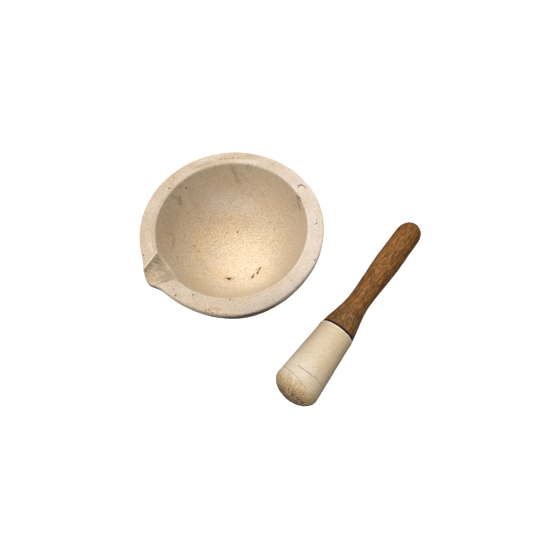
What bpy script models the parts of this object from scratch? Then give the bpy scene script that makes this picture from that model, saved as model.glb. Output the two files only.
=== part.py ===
"""Mortar and pestle: a heavy unglazed stoneware mortar with a pouring spout, and a pestle whose
stoneware head is cemented onto a turned wooden handle. Metres, +Z up. The origin is the centre of
the mortar's flat foot, the spout points along -X, and the pestle lies beside the mortar."""

import math

import bmesh
import bpy
from mathutils import Matrix, Vector

MM = 0.001
GAP = 0.3 * MM  # left between pieces that would touch
MERGE_WITHIN = 0.01 * MM  # points this close on the turning axis become one
SMOOTH_BELOW = math.radians(40.0)  # edges that turn more than this stay sharp in shading

# Mortar
RIM_RADIUS = 76.0 * MM  # outside of the collar that carries the rim
MORTAR_HEIGHT = 86.0 * MM  # up to the rim's inner edge
BOWL_RADIUS = 62.5 * MM  # at the rim's inner edge
BOWL_DEPTH = 64.0 * MM
BOWL_POWER = 2.5  # the height of the bowl's wall grows as this power of its radius
BODY_POWER = 2.8  # the same for the outside, a little rounder
WALL_SPACING = 0.7  # below 1, a wall's points lie closer together where it is steep
INNER_EDGE = 0.8 * MM  # worn rounding of the rim's inner edge
RIM_FALL = 1.0 * MM  # the rim's top slopes down outward by this much
SHOULDER = 2.2 * MM  # rounding of the collar's outer top edge
COLLAR_HEIGHT = 10.0 * MM
COLLAR_OVERHANG = 4.0 * MM  # how far the collar stands out from the body below it
COLLAR_EDGE = 1.2 * MM
FOOT_RADIUS = 41.5 * MM
FOOT_HEIGHT = 6.5 * MM
FOOT_EDGE = 1.2 * MM
NECK_RADIUS = 37.0 * MM
NECK_HEIGHT = 10.0 * MM
MORTAR_STEPS = 80  # flats round the mortar
BOWL_STEPS = 10  # flats up the bowl's wall, and the same for the names below
BODY_STEPS = 7
SHOULDER_STEPS = 4
EDGE_STEPS = 2

# Spout: the collar is drawn out into a blunt lip, and a tapering trough is cut across the rim
SPOUT_ANGLE = math.pi
LIP_REACH = 5.3 * MM
LIP_SPREAD = math.radians(6.0)  # the lip falls away on each side as a bell curve of this width
LIP_ROOT = 64.0 * MM  # radius where the lip starts to be drawn out of the rim's top
LIP_UNDER = 14.0 * MM  # depth below the collar over which the lip runs back into the body
TROUGH_HALF_WIDTH = (14.5 * MM, 10.0 * MM)  # at the bowl's edge, and at the collar's outside
TROUGH_DEPTH = (6.5 * MM, 5.4 * MM)  # below the rim's inner edge
TROUGH_ENDS = (-0.9, 1.9)  # the cutter's ends, in widths of the rim out from the bowl's edge
TROUGH_STEPS = 48

# Pestle, along its own axis: 0 at the joint of head and handle, the handle on the + side
HEAD_MOUTH_RADIUS = 17.3 * MM
HEAD_MOUTH_BAND = 8.0 * MM  # straight stretch below the mouth
HEAD_WIDEST_RADIUS = 20.7 * MM
HEAD_WIDEST_AT = -61.0 * MM
HEAD_DOME = 14.0 * MM  # height of the rounded grinding end
MOUTH_EDGE = (0.8 * MM, 2.5 * MM)  # rounding of the mouth's outer edge, across and along the axis
SHOULDER_RADIUS = 16.5 * MM
SHOULDER_SLOPE = -0.12
WAIST_RADIUS = 10.75 * MM
WAIST_FROM = 38.0 * MM
WAIST_TO = 40.0 * MM
GRIP_RADIUS = 12.8 * MM
GRIP_FROM = 92.0 * MM
GRIP_END_RADIUS = 12.65 * MM
GRIP_END = 126.3 * MM
HANDLE_CAP = 15.0 * MM
PESTLE_STEPS = 40  # flats round the pestle
MOUTH_STEPS = 3  # flats along the outline, and the same for the names below
DOME_STEPS = 8
CAP_STEPS = 7
GRIP_STEPS = 5
FLARE_STEPS = 7

# Joint of head and handle: a grooved tenon set in cement in a blind socket with key rings
TENON_RADIUS = 8.4 * MM
TENON_LENGTH = 32.0 * MM
TENON_EDGE = 1.0 * MM
SOCKET_RADIUS = 10.6 * MM
SOCKET_DEPTH = 35.0 * MM
KEY_DEPTHS = (10.0 * MM, 22.0 * MM)
KEY_WIDTH = 4.0 * MM
KEY_HEIGHT = 1.0 * MM
BEAD_RADIUS = 15.9 * MM
BEAD_HALF_THICKNESS = 0.25 * MM
SHOULDER_AT = BEAD_HALF_THICKNESS + GAP
MOUTH_AT = -SHOULDER_AT

# Where the pestle lies: its joint in plan, and the direction from there to the handle's end
PESTLE_PLACE = Vector((32.4 * MM, -111.2 * MM, 0.0))
PESTLE_HEADING = math.radians(17.1)
PESTLE_LIFT = 0.05 * MM

# Colours (linear), roughness
STONEWARE = ((0.68, 0.56, 0.42, 1.0), 0.72)
HEAD_STONEWARE = ((0.74, 0.61, 0.45, 1.0), 0.62)
HARDWOOD = ((0.20, 0.095, 0.038, 1.0), 0.55)
CEMENT = ((0.045, 0.032, 0.024, 1.0), 0.8)


def clear_scene():
    for obj in list(bpy.data.objects):
        bpy.data.objects.remove(obj, do_unlink=True)


def new_collection(name):
    collection = bpy.data.collections.new(name)
    bpy.context.scene.collection.children.link(collection)
    return collection


def new_material(name, colour, roughness):
    material = bpy.data.materials.new(name)
    material.use_nodes = True
    shader = material.node_tree.nodes["Principled BSDF"]
    shader.inputs["Base Color"].default_value = colour
    shader.inputs["Roughness"].default_value = roughness
    shader.inputs["Metallic"].default_value = 0.0
    material.diffuse_color = colour
    return material


def arc(centre, radii, start, end, steps):
    """Points on an ellipse about centre from start to end, in degrees from +X towards +Z."""
    points = []
    for step in range(steps + 1):
        angle = math.radians(start + (end - start) * step / steps)
        points.append((centre[0] + radii[0] * math.cos(angle), centre[1] + radii[1] * math.sin(angle)))
    return points


def eased(start, end, start_slope, end_slope, steps):
    """Points (radius, height) on a cubic between two heights, with the radius's slopes at both ends."""
    length = end[1] - start[1]
    points = []
    for step in range(steps + 1):
        t = step / steps
        radius = (2 * t**3 - 3 * t**2 + 1) * start[0] + (t**3 - 2 * t**2 + t) * length * start_slope
        radius += (3 * t**2 - 2 * t**3) * end[0] + (t**3 - t**2) * length * end_slope
        points.append((radius, start[1] + length * t))
    return points


def power_wall(radius_from, radius_to, base, height, full_radius, power, steps):
    """Points up a wall whose height grows as a power of its radius, from one radius to another."""
    points = []
    for step in range(steps + 1):
        radius = radius_from + (radius_to - radius_from) * (step / steps) ** WALL_SPACING
        points.append((radius, base + height * (radius / full_radius) ** power))
    return points


def keyed_wall(radius, key_height, key_width, top, bottom):
    """Points down a cylinder's side with rings cut out or standing out at the key depths."""
    points = [(radius, top)]
    for depth in KEY_DEPTHS:
        upper = -depth + key_width / 2
        lower = -depth - key_width / 2
        points += [(radius, upper), (radius + key_height, upper)]
        points += [(radius + key_height, lower), (radius, lower)]
    points.append((radius, bottom))
    return points


def turned_mesh(name, profile, steps):
    """The closed mesh of a profile turned about Z, which runs down the shape's outer side."""
    outline = bpy.data.meshes.new(name)
    corners = [(radius, 0.0, height) for radius, height in profile]
    outline.from_pydata(corners, [(index, index + 1) for index in range(len(corners) - 1)], [])
    guide = bpy.data.objects.new(name + "_outline", outline)
    bpy.context.scene.collection.objects.link(guide)
    screw = guide.modifiers.new("Turn", "SCREW")
    screw.axis = "Z"
    screw.steps = steps
    screw.render_steps = steps
    screw.use_merge_vertices = True
    screw.merge_threshold = MERGE_WITHIN
    graph = bpy.context.evaluated_depsgraph_get()
    mesh = bpy.data.meshes.new_from_object(guide.evaluated_get(graph))
    mesh.name = name
    bpy.data.objects.remove(guide, do_unlink=True)
    bpy.data.meshes.remove(outline)
    return mesh


def shade_round(mesh):
    mesh.shade_smooth()
    mesh.set_sharp_from_angle(angle=SMOOTH_BELOW)


def add_piece(name, mesh, material, collection, parent=None):
    shade_round(mesh)
    mesh.materials.clear()
    mesh.materials.append(material)
    piece = bpy.data.objects.new(name, mesh)
    collection.objects.link(piece)
    piece.parent = parent
    return piece


def mortar_profile():
    """Up the inside of the bowl, over the rim, down the collar and the body, and in under the foot."""
    floor = MORTAR_HEIGHT - BOWL_DEPTH
    shoulder_top = MORTAR_HEIGHT - RIM_FALL
    shoulder_centre = (RIM_RADIUS - SHOULDER, shoulder_top - SHOULDER)
    collar_bottom = shoulder_top - COLLAR_HEIGHT
    under_centre = (RIM_RADIUS - COLLAR_EDGE, collar_bottom + COLLAR_EDGE)
    body_radius = RIM_RADIUS - COLLAR_OVERHANG
    body_top = collar_bottom - COLLAR_EDGE
    neck_share = (NECK_RADIUS / body_radius) ** BODY_POWER
    body_base = (NECK_HEIGHT - body_top * neck_share) / (1 - neck_share)
    foot_centre = (FOOT_RADIUS - FOOT_EDGE, FOOT_HEIGHT - FOOT_EDGE)

    bowl_to = BOWL_RADIUS - INNER_EDGE
    bowl = power_wall(0.0, bowl_to, floor, BOWL_DEPTH, BOWL_RADIUS, BOWL_POWER, BOWL_STEPS)
    inner_edge = [(BOWL_RADIUS, MORTAR_HEIGHT - INNER_EDGE / 2), (BOWL_RADIUS + INNER_EDGE, MORTAR_HEIGHT)]
    shoulder = arc(shoulder_centre, (SHOULDER, SHOULDER), 90, 0, SHOULDER_STEPS)
    under = arc(under_centre, (COLLAR_EDGE, COLLAR_EDGE), 0, -90, EDGE_STEPS)
    body_rise = body_top - body_base
    body = power_wall(NECK_RADIUS, body_radius, body_base, body_rise, body_radius, BODY_POWER, BODY_STEPS)
    foot = arc(foot_centre, (FOOT_EDGE, FOOT_EDGE), 90, 0, EDGE_STEPS)
    base = [(FOOT_RADIUS, FOOT_EDGE), (FOOT_RADIUS - FOOT_EDGE, 0.0), (0.0, 0.0)]
    return bowl + inner_edge + shoulder + under + body[::-1] + foot + base


def draw_out_lip(mesh):
    """Moves the collar outward around the spout's direction, as a potter draws out a lip."""
    collar_bottom = MORTAR_HEIGHT - RIM_FALL - COLLAR_HEIGHT
    for vertex in mesh.vertices:
        radius = math.hypot(vertex.co.x, vertex.co.y)
        if radius < LIP_ROOT or vertex.co.z < collar_bottom - LIP_UNDER:
            continue
        angle = math.atan2(vertex.co.y, vertex.co.x) - SPOUT_ANGLE
        off_spout = abs(math.remainder(angle, 2 * math.pi))
        outward = min(1.0, (radius - LIP_ROOT) / (RIM_RADIUS - SHOULDER - LIP_ROOT))
        below = max(0.0, collar_bottom - vertex.co.z) / LIP_UNDER
        reach = LIP_REACH * math.exp(-((off_spout / LIP_SPREAD) ** 2)) * outward * (1 - below) ** 2
        vertex.co.x *= 1 + reach / radius
        vertex.co.y *= 1 + reach / radius


def trough_cutter(collection):
    """A cone lying across the rim: its underside is the trough, wide at the bowl, narrow at the lip."""
    rounds = []
    heights = []
    for half_width, depth in zip(TROUGH_HALF_WIDTH, TROUGH_DEPTH):
        round_radius = (half_width**2 + depth**2) / (2 * depth)
        rounds.append(round_radius)
        heights.append(round_radius - depth)
    places = []
    radii = []
    for share in TROUGH_ENDS:
        out = BOWL_RADIUS + (RIM_RADIUS - BOWL_RADIUS) * share
        height = MORTAR_HEIGHT + heights[0] + (heights[1] - heights[0]) * share
        places.append(Vector((-out, 0.0, height)))
        radii.append(rounds[0] + (rounds[1] - rounds[0]) * share)
    along = places[1] - places[0]
    turn = along.to_track_quat("Z", "Y").to_matrix().to_4x4()
    cone = bmesh.new()
    bmesh.ops.create_cone(
        cone,
        cap_ends=True,
        segments=TROUGH_STEPS,
        radius1=radii[0],
        radius2=radii[1],
        depth=along.length,
        matrix=Matrix.Translation((places[0] + places[1]) / 2) @ turn,
    )
    mesh = bpy.data.meshes.new("spout_trough")
    cone.to_mesh(mesh)
    cone.free()
    cutter = bpy.data.objects.new("spout_trough", mesh)
    collection.objects.link(cutter)
    cutter.hide_render = True
    cutter.display_type = "WIRE"
    return cutter


def triangulate(mesh):
    shape = bmesh.new()
    shape.from_mesh(mesh)
    bmesh.ops.triangulate(shape, faces=shape.faces)
    shape.to_mesh(mesh)
    shape.free()


def make_mortar(collection, cutters):
    mesh = turned_mesh("mortar", mortar_profile(), MORTAR_STEPS)
    draw_out_lip(mesh)
    triangulate(mesh)
    mortar = add_piece("mortar", mesh, new_material("stoneware", *STONEWARE), collection)
    trough = mortar.modifiers.new("Spout trough", "BOOLEAN")
    trough.operation = "DIFFERENCE"
    trough.solver = "EXACT"
    trough.object = trough_cutter(cutters)


def make_head(collection, parent):
    socket = keyed_wall(SOCKET_RADIUS, KEY_HEIGHT, KEY_WIDTH, MOUTH_AT, -SOCKET_DEPTH)
    socket.append((0.0, -SOCKET_DEPTH))
    edge_centre = (HEAD_MOUTH_RADIUS - MOUTH_EDGE[0], MOUTH_AT - MOUTH_EDGE[1])
    mouth = arc(edge_centre, MOUTH_EDGE, 90, 0, MOUTH_STEPS)
    taper = [(HEAD_MOUTH_RADIUS, -HEAD_MOUTH_BAND)]
    dome = arc((0.0, HEAD_WIDEST_AT), (HEAD_WIDEST_RADIUS, HEAD_DOME), 0, -90, DOME_STEPS)
    profile = socket[::-1] + mouth + taper + dome
    mesh = turned_mesh("pestle_head", profile, PESTLE_STEPS)
    add_piece("pestle_head", mesh, new_material("head_stoneware", *HEAD_STONEWARE), collection, parent)


def make_cement(collection, parent):
    key_width = KEY_WIDTH - 2 * GAP
    inner_bottom = -TENON_LENGTH - GAP
    inner = keyed_wall(TENON_RADIUS + GAP, -KEY_HEIGHT, key_width, BEAD_HALF_THICKNESS, inner_bottom)
    inner.append((0.0, inner_bottom))
    bead = [(BEAD_RADIUS, BEAD_HALF_THICKNESS), (BEAD_RADIUS, -BEAD_HALF_THICKNESS)]
    outer_bottom = -SOCKET_DEPTH + GAP
    outer = keyed_wall(SOCKET_RADIUS - GAP, KEY_HEIGHT, key_width, -BEAD_HALF_THICKNESS, outer_bottom)
    outer.append((0.0, outer_bottom))
    mesh = turned_mesh("joint_cement", inner[::-1] + bead + outer, PESTLE_STEPS)
    add_piece("joint_cement", mesh, new_material("cement", *CEMENT), collection, parent)


def make_handle(collection, parent):
    cap = arc((0.0, GRIP_END), (GRIP_END_RADIUS, HANDLE_CAP), 90, 0, CAP_STEPS)
    grip = eased((WAIST_RADIUS, WAIST_TO), (GRIP_RADIUS, GRIP_FROM), 0.0, 0.0, GRIP_STEPS)
    flare_ends = ((SHOULDER_RADIUS, SHOULDER_AT), (WAIST_RADIUS, WAIST_FROM))
    flare = eased(*flare_ends, SHOULDER_SLOPE, 0.0, FLARE_STEPS)
    tenon = keyed_wall(TENON_RADIUS, -KEY_HEIGHT, KEY_WIDTH, SHOULDER_AT, -TENON_LENGTH + TENON_EDGE)
    tenon += [(TENON_RADIUS - TENON_EDGE, -TENON_LENGTH), (0.0, -TENON_LENGTH)]
    mesh = turned_mesh("pestle_handle", cap + grip[::-1] + flare[::-1] + tenon, PESTLE_STEPS)
    add_piece("pestle_handle", mesh, new_material("hardwood", *HARDWOOD), collection, parent)


def make_pestle_rest(collection):
    """An empty at the joint of head and handle, its Z axis along the pestle as it lies on the table.
    The pestle rests on the widest ring of its head and on the near end of its grip."""
    between = GRIP_END - HEAD_WIDEST_AT
    tilt = math.atan2(HEAD_WIDEST_RADIUS - GRIP_END_RADIUS, between)
    height = (HEAD_WIDEST_RADIUS * GRIP_END - GRIP_END_RADIUS * HEAD_WIDEST_AT) / between
    rest = bpy.data.objects.new("pestle_rest", None)
    collection.objects.link(rest)
    rest.location = PESTLE_PLACE + Vector((0.0, 0.0, height * math.cos(tilt) + PESTLE_LIFT))
    rest.rotation_euler = (0.0, math.pi / 2 + tilt, PESTLE_HEADING)
    return rest


def main():
    clear_scene()
    parts = new_collection("mortar_and_pestle")
    cutters = new_collection("cutters")
    make_mortar(parts, cutters)
    rest = make_pestle_rest(parts)
    make_head(parts, rest)
    make_cement(parts, rest)
    make_handle(parts, rest)


main()
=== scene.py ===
"""The look of the mortar and pestle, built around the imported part. Lengths are written in
millimetres and turned into metres by MM, but heights in the materials and the size of the setting
are in metres. The origin is the centre of the mortar's foot, the spout points along -X, and the
pestle lies beside the mortar."""

import math

import bmesh
import bpy
import numpy as np
from mathutils import Matrix, Vector


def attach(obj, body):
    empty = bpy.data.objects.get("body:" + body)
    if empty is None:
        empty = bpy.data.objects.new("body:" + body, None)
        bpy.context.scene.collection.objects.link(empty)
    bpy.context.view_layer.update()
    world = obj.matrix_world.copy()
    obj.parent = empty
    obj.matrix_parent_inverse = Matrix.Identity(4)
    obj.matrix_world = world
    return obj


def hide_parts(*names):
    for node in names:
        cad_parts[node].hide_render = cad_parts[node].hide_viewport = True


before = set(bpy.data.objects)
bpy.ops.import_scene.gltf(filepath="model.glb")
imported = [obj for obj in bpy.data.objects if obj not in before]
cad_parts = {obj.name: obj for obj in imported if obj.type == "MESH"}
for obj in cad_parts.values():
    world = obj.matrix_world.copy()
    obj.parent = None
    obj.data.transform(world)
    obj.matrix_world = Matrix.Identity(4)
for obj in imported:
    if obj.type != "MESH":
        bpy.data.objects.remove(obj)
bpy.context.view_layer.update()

MM = 0.001

# Mortar
RIM_RADIUS = 76.0  # outside of the collar that carries the rim
MORTAR_HEIGHT = 86.0  # up to the rim's inner edge
BOWL_RADIUS = 62.5
BOWL_DEPTH = 64.0
BOWL_POWER = 2.5  # the height of the bowl's wall grows as this power of its radius
BODY_POWER = 2.8  # the same for the outside
INNER_EDGE = 0.8
RIM_FALL = 1.0  # the rim's top slopes down outward by this much
SHOULDER = 2.2  # rounding of the collar's outer top edge
COLLAR_HEIGHT = 10.0
COLLAR_OVERHANG = 4.0
COLLAR_EDGE = 1.2
FOOT_RADIUS = 41.5
FOOT_HEIGHT = 6.5
FOOT_EDGE = 1.2
NECK_RADIUS = 37.0
NECK_HEIGHT = 10.0
RIM_TOP = MORTAR_HEIGHT - RIM_FALL
COLLAR_BOTTOM = RIM_TOP - COLLAR_HEIGHT

# Spout
LIP_REACH = 5.3
LIP_SPREAD = (math.radians(6.0), math.radians(8.5))  # on the near side, and on the far side
LIP_ROOT = 64.0  # radius where the lip starts to be drawn out of the rim's top
LIP_UNDER = 14.0  # depth below the collar over which the lip runs back into the body
TROUGH_HALF_WIDTH = (14.5, 10.0)  # at the bowl's edge, and at the collar's outside
TROUGH_DEPTH = (6.5, 5.4)  # below the rim's inner edge
TROUGH_POWER = 2.1  # how square the trough's section is
TROUGH_WEAR = (0.5, 1.3, 2.6)  # rounding at the trough's far edge, near edge and the bowl's edge

# Pestle, along its own axis: 0 at the joint of head and handle, the handle on the + side
HEAD_MOUTH_RADIUS = 17.3
HEAD_MOUTH_BAND = 8.0
HEAD_WIDEST_RADIUS = 20.7
HEAD_WIDEST_AT = -61.0
HEAD_DOME = 14.0
MOUTH_EDGE = (0.8, 2.5)
SHOULDER_RADIUS = 16.5
SHOULDER_SLOPE = -0.12
WAIST_RADIUS = 10.75
WAIST_FROM = 38.0
WAIST_TO = 40.0
GRIP_RADIUS = 12.8
GRIP_FROM = 92.0
GRIP_END_RADIUS = 12.65
GRIP_END = 126.3
HANDLE_CAP = 15.0
TENON_RADIUS = 8.4
TENON_LENGTH = 32.0
SOCKET_RADIUS = 10.6
SOCKET_DEPTH = 35.0
BEAD_RADIUS = 15.9
BEAD_HALF_THICKNESS = 0.25
GAP = 0.3
SHOULDER_AT = BEAD_HALF_THICKNESS + GAP
MOUTH_AT = -SHOULDER_AT

# Chips, pits and specks in the mortar: place, size and depth
CHIPS = (
    ((-19.3, -13.9, 27.7), 1.7, 1.0),
    ((-19.9, -15.0, 28.4), 1.4, 0.7),
    ((-18.1, -14.2, 27.5), 1.1, 0.5),
    ((-21.8, -12.9, 28.3), 0.6, 0.3),
    ((-1.3, -26.0, 29.1), 1.3, 0.8),
    ((-1.9, -26.9, 29.6), 0.9, 0.5),
    ((13.4, 21.1, 28.4), 0.9, 0.4),
    ((3.9, 26.0, 29.3), 0.65, 0.25),
    ((40.4, 4.0, 43.7), 0.8, 0.3),
    ((40.1, -3.7, 43.3), 0.6, 0.2),
    ((-28.6, 21.0, 37.5), 0.7, 0.2),
    ((-29.8, 25.9, 42.3), 0.75, 0.2),
    ((-31.7, -23.8, 42.4), 0.6, 0.2),
    ((-5.8, -12.8, 23.5), 0.5, 0.2),
    ((-9.5, 58.6, 78.2), 0.8, 0.2),
    ((61.2, -10.6, 84.8), 1.0, 0.5),
    ((61.3, -13.6, 84.6), 0.8, 0.4),
    ((61.4, -18.3, 84.9), 0.8, 0.4),
    ((45.2, 42.2, 85.4), 0.7, 0.35),
    ((-22.9, 61.8, 85.8), 0.75, 0.25),
    ((-14.4, 69.1, 85.4), 0.6, 0.25),
    ((29.0, 61.0, 85.7), 0.55, 0.2),
    ((32.0, 60.4, 85.6), 0.6, 0.2),
    ((35.2, 58.6, 85.6), 0.5, 0.2),
    ((38.8, 56.6, 85.6), 0.65, 0.2),
    ((42.3, 53.9, 85.6), 0.6, 0.2),
    ((63.2, 31.0, 85.5), 0.5, 0.2),
    ((-56.9, -32.9, 85.6), 0.8, 0.25),
    ((-35.5, -52.6, 85.8), 0.75, 0.25),
    ((-67.9, -25.3, 85.2), 0.75, 0.25),
    ((-66.8, -20.5, 85.2), 0.5, 0.25),
    ((-55.4, -48.9, 85.0), 0.7, 0.25),
    ((-53.0, -50.4, 85.1), 0.6, 0.2),
    ((-52.5, -53.8, 84.8), 0.6, 0.2),
    ((-44.7, -61.0, 84.9), 0.7, 0.25),
    ((-49.5, -57.0, 84.9), 0.5, 0.2),
    ((58.4, -38.5, 85.3), 0.8, 0.2),
    ((60.2, -36.4, 85.2), 0.55, 0.15),
    ((56.2, -38.4, 85.4), 0.5, 0.15),
    ((37.5, -64.2, 85.1), 0.8, 0.25),
    ((-71.4, 19.6, 85.0), 0.7, 0.2),
    ((-72.6, 16.2, 84.8), 0.55, 0.2),
    ((12.0, -67.5, 85.4), 0.5, 0.15),
)
# Gouges in the mortar: from, to, width and depth
GOUGES = (
    ((-0.8, -25.4, 28.8), (1.6, -24.0, 28.1), 0.5, 0.3),
    ((4.6, -26.0, 29.4), (5.4, -24.9, 28.7), 0.95, 0.6),
    ((5.6, -24.6, 28.6), (7.8, -22.9, 28.1), 0.6, 0.4),
    ((7.8, -22.9, 28.1), (10.4, -21.9, 28.1), 0.7, 0.4),
    ((6.4, -21.0, 26.7), (7.1, -21.5, 27.0), 0.45, 0.2),
    ((66.9, -1.7, 85.7), (68.4, -0.7, 85.6), 0.5, 0.35),
    ((68.4, -0.7, 85.6), (70.3, -1.1, 85.5), 0.6, 0.4),
    ((70.3, -1.1, 85.5), (71.8, -3.0, 85.4), 0.5, 0.35),
    ((71.8, -3.0, 85.4), (71.6, -5.2, 85.4), 0.4, 0.3),
)
# Turned lines on the rim's top: radius, depth, the direction in degrees they are clearest in, spread
RIM_RINGS = (
    (64.9, 0.12, 138.0, 40.0),
    (66.6, 0.1, 40.0, 45.0),
    (68.9, 0.12, 35.0, 40.0),
    (71.3, 0.1, 48.0, 50.0),
    (70.2, 0.07, 150.0, 45.0),
    (67.4, 0.06, 250.0, 70.0),
    (72.4, 0.07, 285.0, 60.0),
    (64.5, 0.14, 258.0, 36.0),
    (66.3, 0.08, 296.0, 30.0),
    (63.7, 0.14, 124.0, 18.0),
    (64.4, 0.16, 150.0, 22.0),
)
RING_WIDTH = 0.55
RING_DARK_WIDTH = 0.5
RING_DARK_DEPTH = 0.14  # a turned line this deep is fully dark
MORTAR_COLUMNS = 460
# Small unevenness of the surface: depth, size of its lumps and seed
MORTAR_LUMPS = ((0.09, 14.0, 11), (0.035, 3.0, 21))
TROUGH_LUMPS = ((0.25, 4.0, 51),)
# Turning marks outside: depth and pitch
BODY_WAVE = (0.22, 6.5)
FINE_WAVE = (0.07, 1.9)
CHIP_REACH = 3.0  # the mesh is finer this near to a chip
CHIP_CUTS = 2
CHIP_RAGGED = 0.35
MARK_OUTER = 1.2  # where a mark starts to darken, and where it is darkest, in its own sizes
MARK_INNER = 0.65
# Stained places in the mortar by kind, with painted shade and painted highlights among them: from, to,
# width, strength
STAINS = {
    "ochre": (
        ((-50.5, -50.0, 85.3), (-46.5, -54.5, 85.3), 1.6, 0.6),
        ((-54.0, -49.5, 85.2), (-51.5, -52.5, 85.2), 1.2, 0.35),
        ((-21.5, -13.0, 28.2), (-17.0, -16.0, 28.0), 2.9, 0.55),
        ((-2.5, -26.8, 29.4), (1.0, -25.0, 28.7), 2.2, 0.4),
        ((5.0, -25.5, 29.4), (9.0, -22.5, 28.0), 1.9, 0.4),
        ((-28.5, 21.1, 37.4), (-29.8, 25.9, 42.3), 2.2, 0.35),
        ((-20.7, 33.8, 42.5), (-26.0, 24.0, 38.0), 5.0, 0.1),
        ((-32.9, 7.2, 35.6), (-27.0, -5.0, 31.0), 5.0, 0.18),
        ((30.7, 14.9, 36.0), (24.0, 24.0, 35.0), 8.0, 0.2),
        ((61.4, -11.0, 84.5), (61.6, -17.5, 84.8), 1.4, 0.5),
        ((-76.0, -5.0, 81.0), (-74.9, 0.6, 80.5), 3.6, 0.15),
        ((-76.8, -7.4, 82.4), (-73.0, -8.4, 82.8), 1.5, 0.4),
        ((36.0, 58.0, 85.6), (28.0, 62.0, 85.6), 2.0, 0.22),
        ((-24.0, 61.5, 85.6), (-12.0, 68.5, 85.4), 2.4, 0.18),
    ),
    # Dark streaks and lines, and painted shade by the trough in the rows marked below
    "smear_and_shade": (
        ((33.2, 50.3, 80.4), (33.6, 45.6, 72.0), 2.0, 0.42),
        ((33.6, 45.6, 72.0), (33.8, 43.4, 68.4), 1.6, 0.42),
        ((38.7, 43.3, 75.3), (40.1, 39.6, 71.5), 2.0, 0.22),
        ((-43.5, 33.6, 68.4), (-40.7, 33.8, 64.1), 1.3, 0.36),
        ((-40.7, 33.8, 64.1), (-41.4, 31.2, 62.1), 1.3, 0.38),
        ((-41.4, 31.2, 62.1), (-45.8, 26.2, 63.9), 1.1, 0.4),
        ((-45.8, 26.2, 63.9), (-51.7, 18.1, 68.0), 1.1, 0.34),
        ((-49.1, 15.4, 61.3), (-50.6, 9.7, 61.5), 1.3, 0.28),
        ((-23.8, 55.8, 81.3), (-19.9, 54.9, 75.9), 1.8, 0.32),
        ((-19.9, 54.9, 75.9), (-20.9, 52.2, 71.2), 2.0, 0.5),
        ((60.9, -8.5, 83.8), (58.9, -15.3, 80.0), 2.4, 0.6),
        ((58.4, -4.5, 77.0), (56.6, -12.0, 74.0), 2.6, 0.25),
        ((45.0, 42.0, 85.0), (43.5, 42.5, 82.0), 1.2, 0.22),
        # painted shade in the trough along its edge with the bowl, and inside its near ridge
        ((-64.4, 9.0, 82.3), (-63.6, 1.0, 79.7), 2.4, 0.62),
        ((-63.6, 1.0, 79.7), (-63.2, -7.5, 81.2), 2.4, 0.68),
        ((-63.5, -8.0, 81.6), (-60.5, -9.5, 82.0), 2.0, 0.45),
        ((-72.0, -8.2, 83.2), (-63.5, -10.2, 82.8), 1.0, 0.4),
        ((-42.3, 36.3, 70.0), (-33.0, 46.0, 71.0), 9.0, 0.16),
        ((61.0, 40.0, 85.0), (50.0, 52.0, 85.0), 0.7, 0.3),
        ((45.0, 50.5, 85.4), (36.0, 57.5, 85.4), 0.7, 0.3),
        ((20.0, 63.5, 85.7), (6.0, 66.5, 85.5), 1.2, 0.3),
        ((-50.0, 57.0, 84.5), (-62.0, 43.0, 84.5), 1.2, 0.22),
    ),
    "amber": (
        ((-22.0, 31.0, 41.0), (-27.0, 22.0, 37.0), 8.0, 0.75),
        ((-8.0, 28.0, 31.0), (8.0, 24.0, 28.0), 7.0, 0.4),
        ((-49.3, 12.1, 60.0), (-45.0, 0.0, 50.5), 7.0, 0.35),
        ((-44.0, -42.0, 80.0), (-10.0, -59.0, 78.0), 3.5, 0.22),
    ),
    # Pale patches; the rows marked below are painted highlights and pools of painted light
    "pale": (
        ((-77.0, -5.0, 81.5), (-74.0, -6.5, 82.0), 2.6, 0.45),
        ((14.0, 70.0, 85.2), (30.0, 66.0, 85.2), 2.2, 0.4),
        ((40.0, 52.0, 85.6), (52.0, 41.0, 85.6), 2.6, 0.4),
        ((-64.0, 18.0, 85.6), (-62.4, 25.0, 85.6), 1.4, 0.4),
        # painted highlight along the trough's near ridge
        ((-71.0, -10.2, 84.0), (-62.0, -13.2, 85.4), 0.9, 0.3),
        ((68.2, -3.2, 85.5), (69.8, -3.8, 85.4), 1.2, 0.9),
        # painted highlight along the ridge between the trough and the bowl
        ((-61.2, 12.2, 83.0), (-58.2, 2.8, 80.5), 0.8, 0.35),
        ((-58.2, 2.8, 80.5), (-58.6, -12.3, 82.5), 0.8, 0.4),
        # pools of painted light on the bowl's floor, its near wall and its far wall
        ((-7.0, -14.0, 24.0), (14.0, -20.0, 26.5), 11.0, 0.2),
        ((-16.0, -32.0, 38.0), (4.0, -37.0, 39.0), 8.0, 0.4),
        ((10.0, 46.0, 53.6), (31.0, 29.0, 45.6), 11.0, 0.75),
    ),
}
# Painted shade low on the collar, on its near side and under the lip: direction, spread in degrees,
# height, and the spread over which it fades to nothing
COLLAR_SHADE = ((248.0, 27.0, 10.4, 34.0), (187.5, 6.5, 7.0, 12.0))
COLLAR_SHADE_DROP = 1.5  # it starts this far below the collar
COLLAR_SHADE_STRENGTH = 0.9
EDGE_SHADE_MIDDLE = 263.0  # the painted shade on the rim's near outer edge and the collar is strongest in this direction, in degrees
EDGE_SHADE_SPREAD = 26.0
SWELL_RADII = (66.0, 74.0)  # the swells of the collar grow from nothing to full between these
SWELL_HEIGHTS = (62.0, 74.0)
# How much further out the collar stands than a true circle: direction, spread in degrees, distance
COLLAR_SWELLS = ((345.0, 26.0, 0.8), (207.0, 17.0, -0.7), (245.0, 14.0, 0.9), (285.0, 16.0, -0.7))
TROUGH_PIT_COUNT = 40
PIT_OUT = (63.5, 78.5)  # the small pits lie along a line in plan, this far out and across at its ends
PIT_ACROSS = (11.5, 8.5)
PIT_SCATTER = 2.2
PIT_SIZES = (0.3, 0.5)
PIT_SINK = 0.5
PIT_DARK = 0.7
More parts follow.
